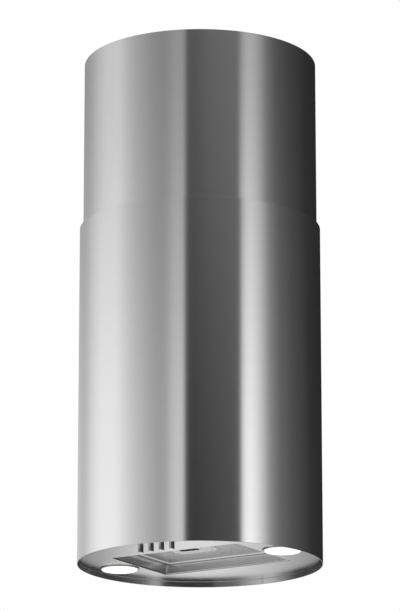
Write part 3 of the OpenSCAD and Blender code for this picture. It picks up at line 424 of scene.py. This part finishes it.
def rolled_wall(builder, node):
    low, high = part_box(node)
    bmesh.ops.create_circle(builder, cap_ends=False, segments=256, radius=high.x,
                            matrix=Matrix.Translation((0, 0, low.z)))
    raised = bmesh.ops.extrude_edge_only(builder, edges=list(builder.edges))
    risen = [v for v in raised["geom"] if isinstance(v, bmesh.types.BMVert)]
    bmesh.ops.translate(builder, verts=risen, vec=(0, 0, high.z - low.z))
    bmesh.ops.recalc_face_normals(builder, faces=builder.faces)
    if sum(face.normal.dot(face.calc_center_median()) for face in builder.faces) < 0:
        bmesh.ops.reverse_faces(builder, faces=builder.faces)
    seam = [e for e in builder.edges if e.is_manifold and abs(e.verts[0].co.x) < 1e-4
            and e.verts[0].co.y > 0]
    bmesh.ops.bevel(builder, geom=seam, offset=SEAM_HALF, segments=2, profile=0.5,
                    affect="EDGES", offset_type="OFFSET", material=-1)
    groove = [v for v in builder.verts if abs(v.co.x) < 1e-5 and v.co.y > 0]
    bmesh.ops.translate(builder, verts=groove, vec=(0, -SEAM_DEEP, 0))
    bmesh.ops.solidify(builder, geom=list(builder.faces), thickness=TUBE_WALL)
    rims = [e for e in builder.edges if abs(e.verts[0].co.z - e.verts[1].co.z) < 1e-6
            and min(abs(e.verts[0].co.z - z) for z in (low.z, high.z)) < 1e-5]
    round_edges(builder, rims, RIM_ROUND, 2)
    for vert in builder.verts:
        vert.co.z = min(max(vert.co.z, low.z), high.z)


def lower_wall(builder):
    rolled_wall(builder, "lower_tube")
    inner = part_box("lower_tube")[1].x - TUBE_WALL
    for centre in centres_of_solids("stud_nuts"):
        outward = Vector((centre.x, centre.y, 0)).normalized()
        turn = outward.to_track_quat("Z", "Y").to_matrix().to_4x4()
        place = Matrix.Translation(outward * (inner - STUD_MIDDLE) + Vector((0, 0, centre.z)))
        stud = bmesh.ops.create_cone(builder, cap_ends=True, segments=24, radius1=STUD_RADIUS,
                                     radius2=STUD_RADIUS, depth=STUD_LONG, matrix=place @ turn)
        tip = {e for v in stud["verts"] for e in v.link_edges
               if all(w.co.xy.length < inner - STUD_TIP for w in e.verts)}
        round_edges(builder, tip, STUD_ROUND, 2)


make_piece("lower_tube_shell", lower_wall, tube_steel, "hood", ["lower_tube"])
make_piece("upper_tube_shell", lambda b: rolled_wall(b, "upper_tube"), tube_steel,
           "ceiling_mount", ["upper_tube"])

# %% [markdown]
# Small metal parts have their right shape in the solids, but their edges are knife sharp.
# A copy of the solid is merged, its flat faces are joined into single faces again, and its
# edges are rounded. That keeps the shape and gives the edges their highlight.

# %% Rounded copies of solids
FLAT_ANGLE = math.radians(1)
SHARP_ANGLE = math.radians(35)


def rounded_copy(name, node, material, body, width):
    def shape(builder):
        builder.from_mesh(nodes[node].data)
        bmesh.ops.remove_doubles(builder, verts=builder.verts, dist=2 * SAME_PLACE)
        bmesh.ops.dissolve_limit(builder, angle_limit=FLAT_ANGLE, verts=builder.verts,
                                 edges=builder.edges, use_dissolve_boundaries=False)
        sharp = [e for e in builder.edges if e.is_manifold
                 and e.calc_face_angle(0) > SHARP_ANGLE]
        round_edges(builder, sharp, width)
    return make_piece(name, shape, material, body, [node])


rounded_copy("filter_border", "filter_frame", frame_aluminium, "filter",
             0.0005)
rounded_copy("handle_dish", "filter_handle", handle_aluminium, "filter", 0.0005)
rounded_copy("thumb_slider", "latch_slider", handle_aluminium, "filter_latch",
             0.0004)
for number, word in enumerate(["one", "two", "three", "four"], 1):
    rounded_copy(f"key_cap_{number}", f"key_{number}", key_metal, f"key_{word}",
                 0.0004)

# %% [markdown]
# The finger slot in the handle holds a black cup. It is painted shade: the slot looks dark
# only because shade falls in it, and the cup stands in for that shade. It is a cup with round
# ends: a circle is pulled apart into a stadium, extruded up, opened at the mouth and given a
# wall. A black finish on the metal itself would stop at no edge. The circle is first turned by
# half a segment, so that no point lies on its middle line.

# %% Painted shade in the finger slot
SLOT_LONG, SLOT_WIDE, SLOT_DEEP, SLOT_WALL = 0.0319, 0.0129, 0.005, 0.0004
SLOT_PLACE = Vector((0.0244, 0, 0.0016))
SLOT_SEGMENTS = 48


def slot_shade_cup(builder):
    low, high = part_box("filter_handle")
    centre = Vector((low.x, (low.y + high.y) / 2, low.z)) + SLOT_PLACE
    half_segment = Matrix.Rotation(math.pi / SLOT_SEGMENTS, 4, "Z")
    ring = bmesh.ops.create_circle(builder, cap_ends=True, segments=SLOT_SEGMENTS,
                                   radius=SLOT_WIDE / 2, matrix=half_segment)
    half = (SLOT_LONG - SLOT_WIDE) / 2
    for vert in ring["verts"]:
        vert.co.x += half if vert.co.x > 0 else -half
    cup = bmesh.ops.extrude_face_region(builder, geom=builder.faces[:])
    roof = [v for v in cup["geom"] if isinstance(v, bmesh.types.BMVert)]
    bmesh.ops.translate(builder, verts=roof, vec=(0, 0, SLOT_DEEP))
    mouth = [f for f in builder.faces if f.calc_center_median().z < SAME_PLACE]
    bmesh.ops.delete(builder, geom=mouth, context="FACES_ONLY")
    bmesh.ops.recalc_face_normals(builder, faces=builder.faces)
    bmesh.ops.solidify(builder, geom=builder.faces[:], thickness=SLOT_WALL)
    bmesh.ops.translate(builder, verts=builder.verts, vec=centre)


# The black cup is painted shade: it darkens the slot where only shade falls.
make_piece("painted_slot_shade", slot_shade_cup, black_plastic, "filter")

# %% [markdown]
# A small coil spring pushes the latch out. It has to get shorter when the thumb pad is drawn
# back, so it can't ride on one body. Here it is a plain copy of the solid, hung on no body and
# left where it stands.

# %% Latch spring
def coil(builder):
    builder.from_mesh(nodes["latch_spring"].data)


latch_coil = make_piece("latch_coil", coil, spring_steel, None, ["latch_spring"])
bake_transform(latch_coil)

# %% [markdown]
# Each lamp is a pressed steel ring round an opal lens that stands a little proud of the
# plate. Both are round, so each is a profile of a few points, spun once round. The rim of
# the ring and the shoulder of the lens are rounded before the spin closes.

# %% Lamp rings and lenses
LENS_GAP = 0.0003
RING_THICK, BARREL_WALL = 0.0014, 0.0007
LENS_PROUD, LENS_SHOULDER, LENS_STEP, LENS_SAG = 0.003, 0.0018, 0.0003, 0.00005


def spun(builder, points, centre):
    verts = [builder.verts.new((centre.x + r, centre.y, z)) for r, z in points]
    edges = [builder.edges.new(pair) for pair in zip(verts, verts[1:] + verts[:1])
             if any((vert.co.xy - centre.xy).length > SAME_PLACE for vert in pair)]
    bmesh.ops.spin(builder, geom=verts + edges, cent=(centre.x, centre.y, 0), axis=(0, 0, 1),
                   dvec=(0, 0, 0), angle=2 * math.pi, steps=96, use_merge=True)


def bezel_profile(side):
    low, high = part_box(f"lamp_bezel_{side}")
    lens_low, lens_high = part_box(f"lamp_lens_{side}")
    outer, inner = (high.x - low.x) / 2, (lens_high.x - lens_low.x) / 2 + LENS_GAP
    top = low.z + RING_THICK
    barrel = inner + BARREL_WALL
    rounded_face = [(inner, low.z + 0.0004), (inner + 0.0003, low.z), (outer - 0.0008, low.z),
                    (outer - 0.0002, low.z + 0.0003), (outer, low.z + 0.0009)]
    return [(inner, top + 0.001), *rounded_face, (outer, top), (barrel, top), (barrel, high.z),
            (inner, high.z)]


def lens_profile(side):
    low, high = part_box(f"lamp_lens_{side}")
    wide = (high.x - low.x) / 2
    back = low.z + LENS_PROUD
    shoulder = [(wide - LENS_SHOULDER * (1 - math.sin(a)),
                 low.z + LENS_SHOULDER * (1 - math.cos(a)))
                for a in [math.radians(15 * k) for k in range(1, 7)]]
    return [(0, low.z), (wide / 2, low.z + LENS_SAG), *shoulder, (wide, back),
            (wide - LENS_STEP, back), (wide - LENS_STEP, high.z), (0, high.z)]


for side in ("left", "right"):
    centre = middle(f"lamp_lens_{side}")
    make_piece(f"lamp_ring_{side}", lambda b: spun(b, bezel_profile(side), centre), bezel_steel,
               "hood", [f"lamp_bezel_{side}"])
    make_piece(f"lamp_glass_{side}", lambda b: spun(b, lens_profile(side), centre),
               lamp_glow(f"lamp_glow_{side}", centre), "hood",
               [f"lamp_lens_{side}"])

# %% [markdown]
# The filter's face is expanded metal: a sheet is slit and pulled until the slits open into
# diamonds. Two diamonds half a step apart are made from circles of four points, inset for
# their strands and given a thickness. Spin without an angle repeats them in rows, and what
# would run through the handle is left out. A picture of a mesh would look flat from the side.

# %% Expanded mesh
DIAMOND = (0.0062, 0.0036)
STRAND = 0.00065
SHEET_SHARE = 0.8  # of the solid's thickness, so the strands stay inside it
HANDLE_COVER = 0.003


def expanded_mesh(builder):
    low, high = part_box("filter_mesh")
    long, short = DIAMOND
    start = Vector((low.x + long / 2, low.y + short / 2, low.z))
    for shift in (Vector((0, 0, 0)), Vector((long / 2, short / 2, 0))):
        ring = bmesh.ops.create_circle(builder, cap_ends=True, segments=4, radius=0.5)
        bmesh.ops.scale(builder, verts=ring["verts"], vec=(long, short, 1))
        bmesh.ops.translate(builder, verts=ring["verts"], vec=start + shift)
    holes = list(builder.faces)
    bmesh.ops.inset_individual(builder, faces=holes, thickness=STRAND, use_even_offset=True)
    bmesh.ops.delete(builder, geom=holes, context="FACES")
    bmesh.ops.recalc_face_normals(builder, faces=builder.faces)
    bmesh.ops.solidify(builder, geom=list(builder.faces),
                       thickness=-(high.z - low.z) * SHEET_SHARE)
    columns = int((high.x - low.x - long / 2) / long)
    rows = int((high.y - low.y - short / 2) / short)
    for count, step in ((columns, (long, 0, 0)), (rows, (0, short, 0))):
        bmesh.ops.spin(builder, geom=builder.verts[:] + builder.edges[:] + builder.faces[:],
                       angle=0, axis=(0, 0, 1), cent=(0, 0, 0), dvec=step,
                       steps=count - 1, use_duplicate=True)
    handle_low, handle_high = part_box("filter_handle")
    centre = middle("filter_handle")
    reach = (handle_high.y - handle_low.y) / 2 - HANDLE_COVER
    straight = (handle_high.x - handle_low.x) / 2 - reach - HANDLE_COVER
    inside = [v for v in builder.verts
              if Vector((max(abs(v.co.x - centre.x) - straight, 0),
                         v.co.y - centre.y)).length < reach]
    bmesh.ops.delete(builder, geom=inside, context="VERTS")
    loose = [v for v in builder.verts if not v.link_faces]
    bmesh.ops.delete(builder, geom=loose, context="VERTS")


make_piece("filter_face", expanded_mesh, strand_metal, "filter",
           ["filter_mesh"], smooth=False)

# %% [markdown]
# The other solids already have their right shape, so each one keeps its mesh and only gets
# its finish. A list pairs each finish with the solids that wear it.

# %% Finishes on the solids
WORN = {
    plate_steel: ["base_plate"],
    zinc_sheet: ["ceiling_plate", "inner_casing", "casing_deck", "motor_bracket", "blower_neck"]
    + [f"{place}_rail_{n}" for place in ("upper", "lower") for n in (1, 2, 3, 4)],
    zinc_fastener: ["rail_head_bolts", "upper_tube_screws", "stud_nuts", "casing_screws",
                    "rail_bolts", "motor_bolts"],
    spring_steel: ["lamp_clip_left", "lamp_clip_right", "latch_keeper"],
    black_plastic: ["guide_ring", "exhaust_collar", "cable_gland", "key_housing", "flap_left",
                    "flap_right"],
    grey_plastic: ["scroll_front", "scroll_rear", "inlet_ring_front", "inlet_ring_rear",
                   "impeller"],
    light_plastic: ["capacitor", "control_box", "control_lid", "terminal_block"],
    led_board: ["lamp_board_left", "lamp_board_right"],
    motor_metal: ["motor"],
    ground_steel: ["impeller_shaft"],
    bush_rubber: ["motor_bushes"],
    circuit_board: ["control_board"],
    knitted_wire: ["filter_pad"],
}
for material, names in WORN.items():
    for name in names:
        nodes[name].data.materials.clear()
        nodes[name].data.materials.append(material)
print("solids dressed:", sum(len(names) for names in WORN.values()))

# %% [markdown]
# The floor is a pale disc well below the hood. It fades to plain white with distance, so it
# has no visible edge, and its back is clear, so a view from below looks through it.

# %% Floor
FLOOR_Z = solid_box[0].z - 1.5
FLOOR_RADIUS = 9
FADE_START, FADE_END = 2.6, 6.5

floor_paint, shader = begin_finish("floor_paint", (0.86, 0.86, 0.86), 0.0, 0.6)
place = add(floor_paint, "TexCoord", {})
reach = add(floor_paint, "VectorMath", {0: place.outputs["Object"]}, operation="LENGTH")
far = add(floor_paint, "MapRange", {"Value": reach.outputs["Value"], "From Min": FADE_START,
          "From Max": FADE_END}, interpolation_type="SMOOTHSTEP")
white = add(floor_paint, "Emission", {"Color": (1, 1, 1, 1), "Strength": 1.0})
blend = add(floor_paint, "MixShader", {0: far.outputs["Result"],
            1: shader.outputs["BSDF"], 2: white.outputs["Emission"]})
clear = add(floor_paint, "BsdfTransparent", {})
facing = add(floor_paint, "NewGeometry", {})
one_sided = add(floor_paint, "MixShader", {0: facing.outputs["Backfacing"],
                1: blend.outputs["Shader"], 2: clear.outputs["BSDF"]})
join(floor_paint, one_sided.outputs["Shader"],
     floor_paint.node_tree.nodes["Material Output"].inputs[0])

builder = bmesh.new()
bmesh.ops.create_circle(builder, cap_ends=True, segments=128, radius=FLOOR_RADIUS,
                        matrix=Matrix.Translation((0, 0, FLOOR_Z)))
floor = place_mesh("floor", builder, floor_paint)
floor.visible_glossy = False
print("floor at", round(FLOOR_Z, 3))

# %% [markdown]
# Steel shows the room more than itself. A closed drum stands round the hood like the cards of
# a studio: pale on one side and dark on the other, with one bright strip in the dark. Each
# row below is one step round the drum, and tones between two rows are blended. The angle is
# counted from the camera's side, and the tones are those near the floor, at the hood and
# high up.

# %% Tones of the cards
CARDS = [(-180, 0.96, 0.66, 0.28), (-178, 0.88, 0.66, 0.28), (-175, 0.2, 0.66, 0.28),
         (-170, 0.04, 0.66, 0.28), (-141, 0.06, 0.57, 0.35), (-132, 0.04, 0.63, 0.4),
         (-120, 0.02, 0.86, 0.49), (-105, 0.05, 1.05, 0.6), (-85, 0.35, 1.06, 0.61),
         (-76, 0.6, 0.92, 0.47), (-64, 0.68, 0.71, 0.355), (-48, 0.45, 0.52, 0.265),
         (-37, 0.2, 0.44, 0.23), (-31, 0.15, 0.49, 0.235), (-24, 0.12, 0.76, 0.26),
         (-15, 0.11, 0.84, 0.265), (-13, 0.02, 0.025, 0.09), (8, 0.01, 0.045, 0.155),
         (30, 0.02, 0.07, 0.175), (37, 0.05, 0.075, 0.14), (39, 0.4, 1.05, 0.18),
         (46, 0.5, 1.32, 0.34), (53, 0.22, 1.04, 0.35), (60, 0.12, 0.68, 0.27),
         (67, 0.08, 0.34, 0.15), (78, 0.06, 0.17, 0.085), (95, 0.04, 0.095, 0.055),
         (125, 0.04, 0.033, 0.029), (170, 0.06, 0.02, 0.02), (175, 0.25, 0.02, 0.02),
         (178, 0.8, 0.02, 0.02), (180, 0.96, 0.02, 0.02)]
print("cards:", len(CARDS))

# %% [markdown]
# The drum's finish looks up its card by the angle round the hood, and blends the three tones
# by height. Towards the middle of the drum's own floor and ceiling it turns to one grey, so
# steel seen from steeply below or above still mirrors something plain.

# %% Finish of the studio drum
HOOD_TONE_FROM, HOOD_TONE_AT = -1.05, -0.4
HIGH_TONE_FROM, HIGH_TONE_AT = 0.0, 1.0
MIDDLE_GREY = 0.36
GREY_START, GREY_FULL = 2.4, 1.4

wall_light = bpy.data.materials.new("wall_light")
wall_light.use_nodes = True
wall_light.node_tree.nodes.clear()
place = add(wall_light, "TexCoord", {})
axes = add(wall_light, "SeparateXYZ", {"Vector": place.outputs["Object"]})
angle = add(wall_light, "Math", {0: axes.outputs["Y"], 1: axes.outputs["X"]}, operation="ARCTAN2")
share = add(wall_light, "Math", {0: angle.outputs["Value"], 1: 0.5 / math.pi,
            2: (180 - math.degrees(CAMERA_SIDE)) / 360}, operation="MULTIPLY_ADD")
around = add(wall_light, "Math", {0: share.outputs["Value"]}, operation="FRACT")
cards = add(wall_light, "ValToRGB", {"Fac": around.outputs["Value"]})
stops = cards.color_ramp.elements
while len(stops) > 1:
    stops.remove(stops[-1])
stops[0].position = 0
stops[0].color = (*CARDS[0][1:], 1)
for degrees, *tones in CARDS[1:]:
    stops.new((degrees + 180) / 360).color = (*tones, 1)
tone = add(wall_light, "SeparateColor", {"Color": cards.outputs["Color"]})
rise = add(wall_light, "MapRange", {"Value": axes.outputs["Z"], "From Min": HOOD_TONE_FROM,
           "From Max": HOOD_TONE_AT}, interpolation_type="SMOOTHSTEP")
climb = add(wall_light, "MapRange", {"Value": axes.outputs["Z"], "From Min": HIGH_TONE_FROM,
            "From Max": HIGH_TONE_AT})
lower = add(wall_light, "Mix", {"Factor": rise.outputs["Result"], "A": tone.outputs["Red"],
            "B": tone.outputs["Green"]})
upper = add(wall_light, "Mix", {"Factor": climb.outputs["Result"], "A": lower.outputs["Result"],
            "B": tone.outputs["Blue"]})
level = add(wall_light, "VectorMath", {0: place.outputs["Object"], 1: (1, 1, 0)},
            operation="MULTIPLY")
reach = add(wall_light, "VectorMath", {0: level.outputs["Vector"]}, operation="LENGTH")
inward = add(wall_light, "MapRange", {"Value": reach.outputs["Value"], "From Min": GREY_START,
             "From Max": GREY_FULL}, interpolation_type="SMOOTHSTEP")
whole = add(wall_light, "Mix", {"Factor": inward.outputs["Result"],
            "A": upper.outputs["Result"], "B": MIDDLE_GREY})
glow = add(wall_light, "Emission", {"Color": whole.outputs["Result"], "Strength": 1.0})
add(wall_light, "OutputMaterial", {"Surface": glow.outputs["Emission"]})
print("tones on the drum:", len(stops))

# %% [markdown]
# The drum is a circle extruded up and capped. Only reflections see it, so it sheds no light
# on the object and casts no shadow. A picture of a room would serve too, but it would need an
# image file, and its tones could not be set one by one.

# %% Studio drum
DRUM_RADIUS, DRUM_TALL = 3.3, 5.8
DRUM_Z = FLOOR_Z + 0.01

builder = bmesh.new()
bmesh.ops.create_circle(builder, cap_ends=True, segments=180, radius=DRUM_RADIUS,
                        matrix=Matrix.Translation((0, 0, DRUM_Z)))
raised = bmesh.ops.extrude_edge_only(builder, edges=list(builder.edges))
risen = [v for v in raised["geom"] if isinstance(v, bmesh.types.BMVert)]
bmesh.ops.translate(builder, verts=risen, vec=(0, 0, DRUM_TALL))
bmesh.ops.create_circle(builder, cap_ends=True, segments=180, radius=DRUM_RADIUS,
                        matrix=Matrix.Translation((0, 0, DRUM_Z + DRUM_TALL)))
bmesh.ops.remove_doubles(builder, verts=builder.verts, dist=10 * SAME_PLACE)
studio_wall = place_mesh("studio_wall", builder, wall_light)
studio_wall.visible_camera = False
studio_wall.visible_diffuse = False
studio_wall.visible_shadow = False
studio_wall.visible_transmission = False
print("drum faces:", len(studio_wall.data.polygons))

# %% [markdown]
# The world is white to the eye and to reflections, and a little lower as a light, so that
# pale surfaces keep their tone. Two large soft lamps add the gentle modelling of a studio.
# They stay out of the reflections, which belong to the wall.

# %% World and lamps
SKY_AS_LIGHT, SKY_AS_SEEN = 0.7, 1.0
AIM = Vector((0, 0, -0.45))
SOFT_LIGHTS = (("key_light", (-2.2, -2.6, 0.6), 60, 2.2),
               ("fill_light", (2.6, -0.6, -0.9), 25, 2.2))

world = bpy.data.worlds.new("studio")
world.use_nodes = True
sky = world.node_tree.nodes["Background"]
sky.inputs["Color"].default_value = (1, 1, 1, 1)
ray = add(world, "LightPath", {})
eye = add(world, "Math", {0: ray.outputs["Is Camera Ray"], 1: ray.outputs["Is Glossy Ray"]},
          operation="MAXIMUM")
seen = add(world, "Math", {0: eye.outputs["Value"], 1: ray.outputs["Is Transmission Ray"]},
           operation="MAXIMUM")
strength = add(world, "MapRange", {"Value": seen.outputs["Value"], "To Min": SKY_AS_LIGHT,
               "To Max": SKY_AS_SEEN})
join(world, strength.outputs["Result"], sky.inputs["Strength"])
bpy.context.scene.world = world

for name, place, power, size in SOFT_LIGHTS:
    light_data = bpy.data.lights.new(name, "AREA")
    light_data.energy = power
    light_data.size = size
    light = bpy.data.objects.new(name, light_data)
    light.location = place
    light.rotation_euler = (AIM - Vector(place)).to_track_quat("-Z", "Y").to_euler()
    light.visible_glossy = False
    bpy.context.scene.collection.objects.link(light)
print("lamps:", len(bpy.data.lights))

# %% [markdown]
# The standard view transform shows each colour as it was chosen.

# %% Colour
bpy.context.scene.view_settings.view_transform = "Standard"
